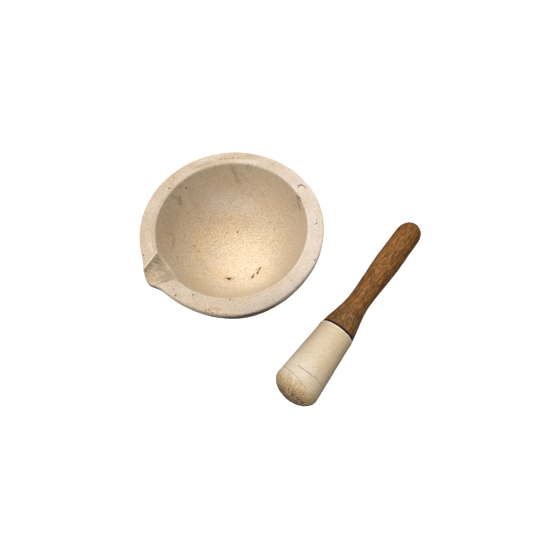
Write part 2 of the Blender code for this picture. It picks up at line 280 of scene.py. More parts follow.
# Listed pits on the trough's far flank: place in plan and size
FLANK_PITS = (
    (-68.3, 11.6, 0.95),
    (-66.8, 12.1, 0.6),
    (-65.3, 11.0, 0.7),
    (-66.4, 8.9, 0.8),
    (-71.5, 9.9, 0.8),
    (-73.4, 9.5, 0.6),
    (-72.6, 6.5, 0.6),
    (-75.0, 8.1, 0.65),
    (-77.5, 7.1, 0.8),
    (-77.0, 9.0, 0.6),
    (-65.4, 7.8, 0.5),
    (-63.2, 10.2, 0.5),
)

# Marks on the pestle. Turns are in degrees about its axis, heights along it
HEAD_COLUMNS = 340
HEAD_CRACKED = (-63.0, -47.0)
# Cracks round the head: from turn and height, to turn and height, strength
HEAD_CRACKS = (
    (110.0, -54.4, 142.0, -51.6, 0.6),
    (142.0, -51.6, 153.0, -50.2, 0.7),
    (153.0, -50.2, 209.0, -49.4, 1.0),
    (209.0, -49.4, 262.0, -49.8, 0.95),
    (112.0, -55.6, 147.0, -57.4, 1.0),
    (147.0, -57.4, 171.0, -58.7, 1.0),
    (171.0, -58.7, 205.0, -61.6, 0.8),
    (20.0, -52.0, 66.0, -50.5, 0.5),
)
# Cracks along the head: turn, from height, to height, strength
HEAD_LENGTH_CRACKS = ((205.0, -49.0, -40.0, 0.55), (148.0, -50.0, -42.0, 0.4), (192.0, -57.0, -51.0, 0.3))
CRACK_WIDTH = 0.42
CRACK_SINK = 0.16
# Pits on the head's end: turn, height and size
HEAD_PITS = (
    (189.0, -72.0, 1.1),
    (180.0, -69.0, 0.7),
    (213.0, -71.6, 1.0),
    (218.0, -71.2, 1.2),
    (222.0, -71.0, 0.9),
    (205.0, -70.9, 0.8),
    (168.0, -70.4, 0.7),
    (172.0, -72.0, 0.8),
    (228.0, -70.6, 0.7),
    (234.0, -70.4, 0.9),
)
HEAD_PIT_COUNT = 150
HANDLE_COLUMNS = 220
HANDLE_DENTS = 46
DENT_RADIUS = 13.0
SCUFF_SINK = 0.16
# Scuffs across the handle: from turn and height, to turn and height, width
HANDLE_SCUFFS = (
    (100.0, 24.5, 150.0, 20.6, 0.7),
    (118.0, 22.0, 140.0, 19.6, 0.6),
    (150.0, 20.6, 178.0, 17.4, 0.6),
    (176.0, 18.2, 206.0, 13.2, 0.8),
    (188.0, 15.8, 214.0, 11.8, 0.5),
    (206.0, 8.6, 236.0, 5.6, 0.9),
    (120.0, 13.0, 146.0, 11.4, 0.7),
    (166.0, 30.0, 200.0, 26.0, 0.5),
    (30.0, 20.0, 70.0, 15.0, 0.7),
    (300.0, 12.0, 340.0, 18.0, 0.6),
)
# Darkened patches on the handle: turn, height, width, strength
HANDLE_SOOT = (
    (150.0, 4.9, 1.6, 0.35),
    (141.0, 15.0, 1.4, 0.6),
    (215.0, 19.0, 3.0, 0.55),
    (190.0, 35.3, 2.0, 0.35),
    (153.0, 124.9, 1.3, 0.6),
    (211.0, 117.7, 1.4, 0.4),
    (128.0, 5.5, 1.0, 0.4),
    (180.0, 74.0, 1.6, 0.25),
    (20.0, 60.0, 2.4, 0.4),
)
CEMENT_COLUMNS = 160
# Small unevenness of the pestle: depth, size of its lumps and seed
HEAD_LUMPS = ((0.1, 12.0, 81), (0.03, 2.4, 91))
TIP_LUMPS = ((0.14, 3.2, 101),)
HANDLE_LUMPS = ((0.1, 16.0, 111),)

# Where the pestle lies
PESTLE_PLACE = (32.4, -111.2)
PESTLE_HEADING = math.radians(17.1)
PESTLE_LIFT = 0.05


# ---------------------------------------------------------------- noise and outlines


def cell_values(cells, seed):
    """A number from 0 to 1 for each whole-number cell, the same at every run."""
    mixed = cells[:, 0] * 374761393 + cells[:, 1] * 668265263 + cells[:, 2] * 1440662683 + seed * 362437
    mixed = (mixed & 0xFFFFFFFF) ^ ((mixed & 0xFFFFFFFF) >> 13)
    mixed = (mixed * 1274126177) & 0xFFFFFFFF
    return ((mixed ^ (mixed >> 16)) & 0xFFFFFF) / 0xFFFFFF


def noise(points, size, seed):
    """Smooth noise from -1 to 1 at each point, with lumps about size across."""
    scaled = points / size
    cells = np.floor(scaled).astype(np.int64)
    share = scaled - cells
    share = share * share * (3 - 2 * share)
    total = np.zeros(len(points))
    for corner in range(8):
        step = np.array([corner & 1, (corner >> 1) & 1, (corner >> 2) & 1])
        weight = np.where(step == 1, share, 1 - share).prod(axis=1)
        total += weight * cell_values(cells + step, seed)
    return 2 * total - 1


def layered_noise(points, size, seed, layers=3):
    """Noise with finer and fainter layers added, each half the size of the last."""
    total = np.zeros(len(points))
    for layer in range(layers):
        total += noise(points, size / 2**layer, seed + layer) / 2**layer
    return total / (2 - 1 / 2 ** (layers - 1))


def unevenness(points, lumps):
    """How deep lumps sink the surface at each point. Each row is a depth, a size and a seed."""
    return sum(depth * (1 + layered_noise(points, size, seed)) for depth, size, seed in lumps)


def between(ends, share):
    """The value that is a share of the way from the first end to the second."""
    return ends[0] + (ends[1] - ends[0]) * share


def bell(distance, width):
    """From 1 at no distance down to 0, over about the width."""
    return np.exp(-((distance / width) ** 2))


def ramp(value, low, high):
    """From 0 at low to 1 at high, easing in and out."""
    share = np.clip((value - low) / (high - low), 0, 1)
    return share * share * (3 - 2 * share)


def arc(centre, radii, start, end, steps=12):
    angles = np.radians(np.linspace(start, end, steps + 1))
    return [(centre[0] + radii[0] * math.cos(a), centre[1] + radii[1] * math.sin(a)) for a in angles]


def eased(start, end, start_slope, end_slope, steps=60):
    """Points on a cubic between two heights, with the radius's slopes at both ends."""
    length = end[1] - start[1]
    t = np.linspace(0, 1, steps + 1)
    radius = (2 * t**3 - 3 * t**2 + 1) * start[0] + (t**3 - 2 * t**2 + t) * length * start_slope
    radius += (3 * t**2 - 2 * t**3) * end[0] + (t**3 - t**2) * length * end_slope
    return list(zip(radius, start[1] + length * t))


def power_wall(radius_from, radius_to, base, height, full_radius, power, steps=80):
    radii = np.linspace(radius_from, radius_to, steps + 1)
    return list(zip(radii, base + height * (radii / full_radius) ** power))


def respaced(points, spacing):
    """The same outline with a point about every spacing(radius, height) along it."""
    points = np.array(points, float)
    lengths = np.hypot(*np.diff(points, axis=0).T)
    keep = np.concatenate([[True], lengths > 1e-9])
    points = points[keep]
    lengths = lengths[keep[1:]]
    middles = (points[1:] + points[:-1]) / 2
    wanted = np.array([spacing(radius, height) for radius, height in middles])
    count_along = np.concatenate([[0.0], np.cumsum(lengths / wanted)])
    count = int(math.ceil(count_along[-1]))
    places = np.linspace(0, count_along[-1], count + 1)
    columns = [np.interp(places, count_along, points[:, axis]) for axis in range(2)]
    return np.stack(columns, axis=1)


# ---------------------------------------------------------------- meshes


def grid_faces(rows, columns):
    """Quads between rows of a closed ring of columns."""
    row = np.arange(rows - 1)[:, None] * columns
    here = np.arange(columns)[None, :]
    after = (here + 1) % columns
    quads = np.stack([row + here, row + columns + here, row + columns + after, row + after], axis=-1)
    return quads.reshape(-1, 4)


def ring_mesh(name, points, first_pole, last_pole):
    """A closed mesh of rings (rows, columns, 3) with a point at each end. The first end faces up."""
    rows, columns = points.shape[:2]
    corners = np.concatenate([points.reshape(-1, 3), [first_pole, last_pole]])
    faces = grid_faces(rows, columns).tolist()
    first = rows * columns
    for column in range(columns):
        after = (column + 1) % columns
        faces.append((first, column, after))
        faces.append((first + 1, (rows - 1) * columns + after, (rows - 1) * columns + column))
    mesh = bpy.data.meshes.new(name)
    mesh.from_pydata(corners.tolist(), [], faces)
    mesh.update()
    return mesh


def mesh_vectors(mesh, kind="co"):
    """The places of the mesh's points, or their normals."""
    vectors = np.empty(len(mesh.vertices) * 3)
    mesh.vertices.foreach_get(kind, vectors)
    return vectors.reshape(-1, 3)


def move_points(mesh, points):
    mesh.vertices.foreach_set("co", np.ascontiguousarray(points, np.float32).ravel())
    mesh.update()


def sink_surface(mesh, points, depth):
    """Moves each point in from the surface by a depth in millimetres."""
    move_points(mesh, (points - mesh_vectors(mesh, "normal") * depth[:, None]) * MM)


def turns(points):
    """How far round its piece's axis each point is, in degrees from 0 to 360."""
    return np.degrees(np.arctan2(points[:, 1], points[:, 0])) % 360


def refine(mesh, places, reach, cuts):
    """Splits the edges near the places more finely, so that small chips have room."""
    shape = bmesh.new()
    shape.from_mesh(mesh)
    points = np.array([vertex.co[:] for vertex in shape.verts])
    near = np.zeros(len(points), bool)
    for place in places:
        near |= np.linalg.norm(points - np.array(place), axis=1) < reach
    edges = [edge for edge in shape.edges if near[edge.verts[0].index] and near[edge.verts[1].index]]
    bmesh.ops.subdivide_edges(shape, edges=edges, cuts=cuts, use_grid_fill=True)
    bmesh.ops.triangulate(shape, faces=[face for face in shape.faces if len(face.verts) > 4])
    shape.to_mesh(mesh)
    shape.free()


def new_object(name, data):
    thing = bpy.data.objects.new(name, data)
    bpy.context.scene.collection.objects.link(thing)
    return thing


def add_piece(name, mesh, material, body, nodes, place=None):
    """Adds a piece to the scene. Its material reads the points as they were before it was placed."""
    remember_points(mesh)
    if place is not None:
        mesh.transform(place)
    mesh.materials.append(material)
    mesh.shade_smooth()
    piece = new_object(name, mesh)
    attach(piece, body)
    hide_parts(*nodes)
    return piece


def store(mesh, name, values):
    layer = mesh.attributes.new(name, "FLOAT", "POINT")
    layer.data.foreach_set("value", np.ascontiguousarray(values, np.float32))


def stored(mesh, name):
    values = np.empty(len(mesh.vertices), np.float32)
    mesh.attributes[name].data.foreach_get("value", values)
    return values.astype(float)


def remember_points(mesh):
    layer = mesh.attributes.new("made_at", "FLOAT_VECTOR", "POINT")
    layer.data.foreach_set("vector", mesh_vectors(mesh).astype(np.float32).ravel())


# ---------------------------------------------------------------- the mortar's shape


def mortar_outline():
    """Up the inside of the bowl, over the rim, down the collar and the body, and in under the foot."""
    floor = MORTAR_HEIGHT - BOWL_DEPTH
    shoulder_centre = (RIM_RADIUS - SHOULDER, RIM_TOP - SHOULDER)
    under_centre = (RIM_RADIUS - COLLAR_EDGE, COLLAR_BOTTOM + COLLAR_EDGE)
    body_radius = RIM_RADIUS - COLLAR_OVERHANG
    body_top = COLLAR_BOTTOM - COLLAR_EDGE
    neck_share = (NECK_RADIUS / body_radius) ** BODY_POWER
    body_base = (NECK_HEIGHT - body_top * neck_share) / (1 - neck_share)
    foot_centre = (FOOT_RADIUS - FOOT_EDGE, FOOT_HEIGHT - FOOT_EDGE)
    base_centre = (FOOT_RADIUS - FOOT_EDGE, FOOT_EDGE)

    bowl = power_wall(0.0, BOWL_RADIUS - INNER_EDGE, floor, BOWL_DEPTH, BOWL_RADIUS, BOWL_POWER)
    edge_start = bowl[-1]
    edge_corner = (BOWL_RADIUS - 0.1, MORTAR_HEIGHT)
    edge_end = (BOWL_RADIUS + 1.3, MORTAR_HEIGHT - 0.05)
    edge = bent(edge_start, edge_corner, edge_end)
    shoulder = arc(shoulder_centre, (SHOULDER, SHOULDER), 90, 0)
    under = arc(under_centre, (COLLAR_EDGE, COLLAR_EDGE), 0, -90)
    body = power_wall(NECK_RADIUS, body_radius, body_base, body_top - body_base, body_radius, BODY_POWER)
    step = bent(under[-1], (body_radius + 0.3, COLLAR_BOTTOM - 0.1), body[-1])
    foot = arc(foot_centre, (FOOT_EDGE, FOOT_EDGE), 90, 0)
    neck = bent(body[1], (NECK_RADIUS - 0.2, FOOT_HEIGHT + 1.2), foot[0])
    base = arc(base_centre, (FOOT_EDGE, FOOT_EDGE), 0, -90)
    return bowl + edge + shoulder + under + step + body[::-1][:-1] + neck + foot + base + [(0.0, 0.0)]


def bent(start, corner, end, steps=10):
    """A curve from start to end that is pulled towards the corner between them."""
    t = np.linspace(0, 1, steps + 1)[:, None]
    points = (1 - t) ** 2 * np.array(start) + 2 * t * (1 - t) * np.array(corner) + t**2 * np.array(end)
    return [tuple(point) for point in points]


def mortar_spacing(radius, height):
    if height > RIM_TOP - 2.5 * SHOULDER:
        return 0.55 if radius > BOWL_RADIUS - 2 else 0.8
    if radius > RIM_RADIUS - COLLAR_OVERHANG - 1 and height > COLLAR_BOTTOM - 2:
        return 0.7
    if height < FOOT_HEIGHT + 5 and radius > FOOT_RADIUS - 6:
        return 0.8
    if height < 1.0:
        return 4.0
    inside = height > MORTAR_HEIGHT - BOWL_DEPTH + BOWL_DEPTH * (radius / BOWL_RADIUS) ** BOWL_POWER - 2
    return 1.0 if inside else 1.7


def mortar_angles():
    """Angles round the mortar, closer together near the spout."""
    fine = np.linspace(0, 2 * math.pi, 3601)
    off_spout = np.abs(fine - math.pi)
    density = 1 + 1.1 * bell(off_spout, math.radians(17))
    along = np.concatenate([[0.0], np.cumsum((density[1:] + density[:-1]) / 2)])
    places = np.linspace(0, along[-1], MORTAR_COLUMNS + 1)[:-1]
    return np.interp(places, along, fine)


def lower_of(first, second, blend):
    """The lower of two heights, rounded off over blend where they meet."""
    share = np.clip(0.5 + 0.5 * (second - first) / blend, 0, 1)
    return second * (1 - share) + first * share - blend * share * (1 - share)


def trough_height(points):
    """Height of the pouring trough's surface over each point."""
    share = (-points[..., 0] - BOWL_RADIUS) / (RIM_RADIUS - BOWL_RADIUS)
    across = np.abs(points[..., 1]) / np.maximum(between(TROUGH_HALF_WIDTH, share), 1.0)
    return MORTAR_HEIGHT - between(TROUGH_DEPTH, share) * (1 - across**TROUGH_POWER)


def shape_spout(points, top_rows):
    """Draws the collar out into a lip and cuts the trough, which lowers the collar's edge with it."""
    radius = np.hypot(points[..., 0], points[..., 1])
    angle = np.arctan2(points[..., 1], points[..., 0])
    off_spout = np.abs(np.abs(angle) - math.pi)
    spread = np.where(angle > 0, LIP_SPREAD[1], LIP_SPREAD[0])
    outward = np.clip((radius - LIP_ROOT) / (RIM_RADIUS - SHOULDER - LIP_ROOT), 0, 1)
    below = np.clip((COLLAR_BOTTOM - points[..., 2]) / LIP_UNDER, 0, 1)
    reach = LIP_REACH * bell(off_spout, spread) * outward * (1 - below) ** 2
    swell = np.zeros(radius.shape)
    for middle, width, distance in COLLAR_SWELLS:
        swell += distance * bell(turn_from(angle, middle), width)
    reach += swell * ramp(radius, *SWELL_RADII) * ramp(points[..., 2], *SWELL_HEIGHTS)
    points[..., :2] *= (1 + reach / np.maximum(radius, 1.0))[..., None]

    facing = points[..., 0] < 0
    wear = between(TROUGH_WEAR[:2], ramp(points[..., 1], 0, -8))
    wear += (TROUGH_WEAR[2] - wear) * ramp(radius, 64, 60)
    lowered = lower_of(points[..., 2], trough_height(points), wear)
    drop = np.where(facing, points[..., 2] - lowered, 0.0)
    # a painted highlight along the sharp far edge of the trough, stored for the material
    crease_highlight = bell(points[..., 2] - trough_height(points) + 0.25, 0.5) * (facing & (points[..., 1] > 0))
    edge_drop = drop[top_rows - 1]
    side = (points[..., 2] - COLLAR_BOTTOM) / (RIM_TOP - SHOULDER - COLLAR_BOTTOM)
    drop[top_rows:] = np.clip(side[top_rows:], 0, 1) * edge_drop
    points[..., 2] -= drop
    return drop, crease_highlight * ramp(radius, 62.0, 62.8)


def make_mortar_mesh():
    outline = respaced(mortar_outline(), mortar_spacing)[1:-1]
    angles = mortar_angles()
    circle = np.stack([np.cos(angles), np.sin(angles)], axis=-1)
    points = np.empty((len(outline), len(angles), 3))
    points[..., :2] = outline[:, 0][:, None, None] * circle[None]
    points[..., 2] = outline[:, 1][:, None]
    top_rows = int(np.argmax(outline[:, 0] > RIM_RADIUS - SHOULDER))
    inner_rows = int(np.argmax(outline[:, 0] > BOWL_RADIUS))
    drop, crease_highlight = shape_spout(points, top_rows)
    pole = np.array((0.0, 0.0, MORTAR_HEIGHT - BOWL_DEPTH))
    mesh = ring_mesh("mortar_stoneware", points * MM, pole * MM, (0.0, 0.0, 0.0))
    inside = np.zeros((len(outline), len(angles)))
    inside[:inner_rows] = 1.0
    store(mesh, "inside", np.concatenate([inside.ravel(), [1.0, 0.0]]))
    store(mesh, "drop", np.concatenate([drop.ravel(), [0.0, 0.0]]))
    # the painted highlight along the trough's far edge
    store(mesh, "crease_highlight", np.concatenate([crease_highlight.ravel(), [0.0, 0.0]]))
    refine(mesh, [np.array(place) * MM for place, size, depth in CHIPS], CHIP_REACH * MM, CHIP_CUTS)
    return mesh


def mortar_zones(outside, drop, radius, height):
    """How far each point is part of the rim's top, the body, the collar's side and the trough."""
    rim = outside * ramp(height, RIM_TOP - 6, RIM_TOP - 1) * ramp(radius, 62, 63)
    body = outside * ramp(height, COLLAR_BOTTOM + 1, COLLAR_BOTTOM - 2) * ramp(height, 6, 12)
    collar = outside * (1 - rim) * (1 - body) * ramp(height, 70, 74)
    trough = ramp(drop, 0.3, 1.6) * ramp(height, COLLAR_BOTTOM + 1, COLLAR_BOTTOM + 4)
    return rim, body, collar, trough


def rim_rings(radius, angle):
    """How deep the turned lines sink each point of the rim, and how dark they are there."""
    sink = np.zeros(len(radius))
    dark = np.zeros(len(radius))
    for ring, depth, middle, spread in RIM_RINGS:
        clear = depth * bell(turn_from(angle, middle), spread)
        sink += clear * bell(radius - ring, RING_WIDTH)
        dark = np.maximum(dark, clear * bell(radius - ring, RING_DARK_WIDTH) / RING_DARK_DEPTH)
    return sink, dark


def mortar_marks(points, trough):
    """How deep the chips, gouges and pits sink each point, and how dark they are there."""
    sink = np.zeros(len(points))
    dark = np.zeros(len(points))
    for place, size, depth in CHIPS:
        off = points - np.array(place)
        off += CHIP_RAGGED * size * np.stack([noise(points, size, seed) for seed in (61, 62, 63)], axis=1)
        away = np.linalg.norm(off, axis=1)
        sink += depth * bell(away, size)
        dark = np.maximum(dark, ramp(away, MARK_OUTER * size, MARK_INNER * size))
    ragged = noise(points, 0.8, seed=67)
    for start, end, width, depth in GOUGES:
        away = distance_to_line(points, start, end)
        sink += depth * bell(away * (1 + 0.35 * ragged), width)
        dark = np.maximum(dark, ramp(away * (1 + 0.5 * ragged), MARK_OUTER * width, MARK_INNER * width))
    for x, y, size in trough_pits():
        away = np.hypot(points[:, 0] - x, points[:, 1] - y)
        sink += PIT_SINK * size * bell(away, size) * trough
        away += 0.3 * size * noise(points, size, seed=64)
        dark = np.maximum(dark, PIT_DARK * ramp(away, 1.1 * size, 0.4 * size) * trough)
    return sink, dark


def painted_collar_shade(points, angle):
    """How much painted shade each point has, low on the near side of the collar and under the lip."""
    rise = np.zeros(len(points))
    near = np.zeros(len(points))
    for middle, spread, most, reach in COLLAR_SHADE:
        off = turn_from(angle, middle)
        rise = np.maximum(rise, most * bell(off, spread))
        near = np.maximum(near, bell(off, reach))
    top = COLLAR_BOTTOM - COLLAR_SHADE_DROP + rise + 0.5 * noise(points, 4.0, seed=70)
    height = points[:, 2]
    low = ramp(top - height, -0.5, 0.5) * ramp(height, COLLAR_BOTTOM - 6, COLLAR_BOTTOM - 1)
    return COLLAR_SHADE_STRENGTH * np.clip(1.6 * near, 0, 1) * low


def stain_strength(points, stains, ragged):
    """The strength at each point of the strongest of some marks along lines: stains, painted shade and
    painted highlights.
    """
    total = np.zeros(len(points))
    for start, end, width, strength in stains:
        total = np.maximum(total, strength * bell(distance_to_line(points, start, end) * ragged, width))
    return total


def wave(height, pitch):
    """From 0 to 1 and back over each pitch, as a turning tool leaves a surface."""
    return (1 + np.sin(2 * math.pi * height / pitch)) / 2


def wear_mortar(mesh):
    """Moves the surface in by the small unevenness of hand-turned, long-used stoneware, and stores
    how marked and how stained each point is, and how much painted shade and painted highlight it has."""
    points = mesh_vectors(mesh) / MM
    radius = np.hypot(points[:, 0], points[:, 1])
    angle = np.arctan2(points[:, 1], points[:, 0])
    height = points[:, 2]
    outside = 1 - stored(mesh, "inside")
    rim, body, collar, trough = mortar_zones(outside, stored(mesh, "drop"), radius, height)
    drift = 1.2 * noise(points, 40.0, seed=41)
    ring_sink, rings = rim_rings(radius + 0.3 * drift, angle)
    mark_sink, marks = mortar_marks(points, trough)

    sink = unevenness(points, MORTAR_LUMPS) + unevenness(points, TROUGH_LUMPS) * trough
    sink += 0.05 * (1 + noise(points, 1.6, seed=31)) * (rim + 0.6 * trough)
    sink += BODY_WAVE[0] * body * wave(height + drift, BODY_WAVE[1])
    sink += FINE_WAVE[0] * (body + collar) * wave(height + 0.5 * drift, FINE_WAVE[1])
    sink_surface(mesh, points, (sink + ring_sink * rim + mark_sink) * ramp(height, 0.0, 2.5))

    flank = ramp(points[:, 1] + 2.0 * noise(points, 4.0, seed=65), 1.0, 9.0) * trough * ramp(radius, 62, 65)
    # tan: painted shade on the near outer edge of the rim and on the collar, where the rounded edge turns
    # from the light
    tan = bell(turn_from(angle, EDGE_SHADE_MIDDLE), EDGE_SHADE_SPREAD) * ramp(height, COLLAR_BOTTOM, COLLAR_BOTTOM + 2)
    layers = {
        "mark": marks,
        "rim": rim,
        "trough": trough,
        "flank": flank,
        "ring": rings * rim * (1 - trough) * (0.6 + 0.4 * noise(points, 5.0, seed=68)),
        # painted shade on the near outer edge of the rim
        "tan": tan * outside * ramp(radius + 1.5 * noise(points, 6.0, seed=69), 65, 75),
        # painted shade low on the collar's near side and under the lip
        "collar_shade": painted_collar_shade(points, angle) * outside,
    }
    ragged = 1 + 0.5 * layered_noise(points, 3.0, seed=66)
    for name, stains in STAINS.items():
        layers[name] = stain_strength(points, stains, ragged)
    for name, values in layers.items():
        store(mesh, name, values)


def distance_to_line(points, start, end):
    start = np.array(start)
    along = np.array(end) - start
    share = np.clip((points - start) @ along / max(along @ along, 1e-9), 0, 1)
    return np.linalg.norm(points - start - share[:, None] * along, axis=1)


def trough_pits():
    """Places in plan and sizes of the pits on the trough's far flank, the listed ones and small ones."""
    draw = np.random.default_rng(5)
    found = list(FLANK_PITS)
    for _ in range(TROUGH_PIT_COUNT):
        share = draw.uniform(0, 1)
        across = between(PIT_ACROSS, share) - draw.exponential(PIT_SCATTER)
        found.append((-between(PIT_OUT, share), across, draw.uniform(*PIT_SIZES)))
    return found


def turn_from(angle, middle):
    """How far each angle is from the middle, in degrees."""
    return np.degrees((angle - math.radians(middle) + math.pi) % (2 * math.pi) - math.pi)


# ---------------------------------------------------------------- the pestle's shape


def turned_piece(name, outline, columns):
    """A closed mesh of an outline turned about Z, with its ends on the axis."""
    angles = np.linspace(0, 2 * math.pi, columns + 1)[:-1]
    circle = np.stack([np.cos(angles), np.sin(angles)], axis=-1)
    rings = outline[1:-1]
    points = np.empty((len(rings), columns, 3))
    points[..., :2] = rings[:, 0][:, None, None] * circle[None]
    points[..., 2] = rings[:, 1][:, None]
    poles = [(0.0, 0.0, outline[end][1] * MM) for end in (0, -1)]
    return ring_mesh(name, points * MM, *poles)


def head_spacing(radius, height):
    if radius < SOCKET_RADIUS + 1 and height > -SOCKET_DEPTH - 1:
        return 2.5
    if height > MOUTH_AT - 3 * MOUTH_EDGE[1]:
        return 0.4
    if HEAD_CRACKED[0] < height < HEAD_CRACKED[1]:
        return 0.2
    return 0.8


def make_head_mesh():
    socket = [(0.0, -SOCKET_DEPTH), (SOCKET_RADIUS, -SOCKET_DEPTH), (SOCKET_RADIUS, MOUTH_AT)]
    edge_centre = (HEAD_MOUTH_RADIUS - MOUTH_EDGE[0], MOUTH_AT - MOUTH_EDGE[1])
    mouth = arc(edge_centre, MOUTH_EDGE, 90, 0)
    taper = [(HEAD_MOUTH_RADIUS, -HEAD_MOUTH_BAND)]
    dome = arc((0.0, HEAD_WIDEST_AT), (HEAD_WIDEST_RADIUS, HEAD_DOME), 0, -90, 40)
    outline = respaced(socket + mouth + taper + dome, head_spacing)
    outline[-1, 0] = 0.0
    return turned_piece("pestle_head_stoneware", outline, HEAD_COLUMNS)


def line_round(points, turn, ends, wander, width, fade):
    """How much of a line round the pestle reaches each point, from 0 to 1. Its ends are given as two
    turns and heights, and fade is where it starts and stops to show, as a share of its length."""
    turn_start, height_start, turn_end, height_end = ends
    share = (turn - turn_start) / (turn_end - turn_start)
    line = between((height_start, height_end), share) + wander
    return ramp(share, *fade) * ramp(1 - share, *fade) * bell(points[:, 2] - line, width)


def crack_depths(points, turn, radius):
    """How much of each crack reaches each point of the head, from 0 to 1."""
    total = np.zeros(len(points))
    wander = 0.5 * noise(points, 4.5, seed=71)
    for *ends, strength in HEAD_CRACKS:
        crack = line_round(points, turn, ends, wander, CRACK_WIDTH, (-0.06, 0.04))
        total = np.maximum(total, strength * crack)
    for turn_at, low, high, strength in HEAD_LENGTH_CRACKS:
        off = np.radians(turn - turn_at) * radius + 1.6 * wander
        crack = ramp(points[:, 2], low - 2, low + 1) * ramp(points[:, 2], high + 2, high)
        total = np.maximum(total, strength * crack * bell(off, CRACK_WIDTH))
    return total * ramp(radius, SOCKET_RADIUS + 1, SOCKET_RADIUS + 3)


def wear_head(mesh):
    """Lumps, cracks and pits, all sunk below the head's surface."""
    points = mesh_vectors(mesh) / MM
    radius = np.hypot(points[:, 0], points[:, 1])
    height = points[:, 2]
    shown = ramp(radius, SOCKET_RADIUS + 0.5, SOCKET_RADIUS + 2)
    shown = np.maximum(shown, ramp(height, -SOCKET_DEPTH - 1, -SOCKET_DEPTH - 3))
    cracks = crack_depths(points, turns(points), radius)
    sink = unevenness(points, HEAD_LUMPS) + CRACK_SINK * cracks
    sink += unevenness(points, TIP_LUMPS) * ramp(height, -60.0, -72.0)
    pits = np.zeros(len(points))
    for place, size in tip_pits():
        away = np.linalg.norm(points - place, axis=1)
        sink += 0.45 * size * bell(away, size)
        pits = np.maximum(pits, ramp(away, 1.1 * size, 0.4 * size))
    sink_surface(mesh, points, sink * shown)
    store(mesh, "crack", cracks)
    store(mesh, "pit", pits)


def tip_pits():
    """Places and sizes of the worn pits on the head's grinding end."""
    draw = np.random.default_rng(7)
    found = [(tip_place(turn, height), size) for turn, height, size in HEAD_PITS]
    for _ in range(HEAD_PIT_COUNT):
        turn = draw.uniform(0, 360)
        height = HEAD_WIDEST_AT - HEAD_DOME * draw.uniform(0.35, 1.0)
        found.append((tip_place(turn, height), draw.uniform(0.3, 0.62)))
    return found


def tip_place(turn, height):
    """The point on the head's rounded end at a turn in degrees and a height along the axis."""
    share = min(1.0, max(0.0, (HEAD_WIDEST_AT - height) / HEAD_DOME))
    radius = HEAD_WIDEST_RADIUS * math.sqrt(1 - share**2)
    angle = math.radians(turn)
    return np.array((radius * math.cos(angle), radius * math.sin(angle), height))


def make_handle_mesh():
    cap = arc((0.0, GRIP_END), (GRIP_END_RADIUS, HANDLE_CAP), 90, 0, 40)
    grip = eased((WAIST_RADIUS, WAIST_TO), (GRIP_RADIUS, GRIP_FROM), 0.0, 0.0)
    flare = eased((SHOULDER_RADIUS, SHOULDER_AT), (WAIST_RADIUS, WAIST_FROM), SHOULDER_SLOPE, 0.0)
    flare[0] = (SHOULDER_RADIUS - 0.25, SHOULDER_AT)
    flare.insert(1, (SHOULDER_RADIUS - 0.05, SHOULDER_AT + 0.2))
    tenon = [(TENON_RADIUS, SHOULDER_AT), (TENON_RADIUS, -TENON_LENGTH), (0.0, -TENON_LENGTH)]
    outline = respaced(cap + grip[::-1] + flare[::-1] + tenon, handle_spacing)
    outline[0, 0] = 0.0
    return turned_piece("pestle_handle_wood", outline, HANDLE_COLUMNS)


def handle_spacing(radius, height):
    if radius < TENON_RADIUS + 0.5 and height < SHOULDER_AT:
        return 3.0
    return 0.4 if height < SHOULDER_AT + 2 else 0.85


def handle_dents(points):
    """How deep the dents scattered over the handle sink each point."""
    draw = np.random.default_rng(11)
    sink = np.zeros(len(points))
    for _ in range(HANDLE_DENTS):
        height = draw.uniform(4.0, GRIP_END + 8)
        turn = draw.uniform(0, 2 * math.pi)
        place = np.array((DENT_RADIUS * math.cos(turn), DENT_RADIUS * math.sin(turn), height))
        stretch = np.array((1.0, 1.0, draw.uniform(0.35, 1.6)))
        away = np.linalg.norm((points - place) * stretch, axis=1)
        sink += draw.uniform(0.08, 0.3) * bell(away, draw.uniform(0.9, 2.2))
    return sink


def handle_scuffs(points, turn):
    """How much of each scuff reaches each point of the handle, from 0 to 1."""
    found = []
    wander = 1.2 * noise(points, 3.0, seed=131)
    broken = ramp(noise(points, 1.5, seed=132), -0.5, 0.5)
    for *ends, width in HANDLE_SCUFFS:
        found.append(broken * line_round(points, turn, ends, wander, width, (-0.15, 0.15)))
    return np.array(found)


def handle_soot(points, turn):
    """How dark each point of the handle is with soot: by the joint, and in patches."""
    total = 0.95 * ramp(points[:, 2], SHOULDER_AT + 1.3, SHOULDER_AT + 0.6)
    ragged = 1 + 0.5 * noise(points, 1.6, seed=133)
    for middle, height, width, strength in HANDLE_SOOT:
        around = np.radians(turn_from(np.radians(turn), middle)) * SHOULDER_RADIUS
        away = np.hypot(around, (points[:, 2] - height) * 0.8) * ragged
        total = np.maximum(total, strength * bell(away, width))
    return total


def wear_handle(mesh):
    """Shrinkage, open grain, dents and scuffs, all sunk below the turned surface."""
    points = mesh_vectors(mesh) / MM
    turn = turns(points)
    stretched = points * np.array((1.0, 1.0, 0.09))
    scuffs = handle_scuffs(points, turn)
    sink = unevenness(points, HANDLE_LUMPS) + 0.05 * (1 + noise(stretched, 1.3, seed=121))
    sink += handle_dents(points) + SCUFF_SINK * scuffs.sum(axis=0)
    soot = handle_soot(points, turn)
    sink_surface(mesh, points, sink * ramp(points[:, 2], SHOULDER_AT, SHOULDER_AT + 0.8))
    store(mesh, "scuff", scuffs.max(axis=0))
    store(mesh, "soot", soot)


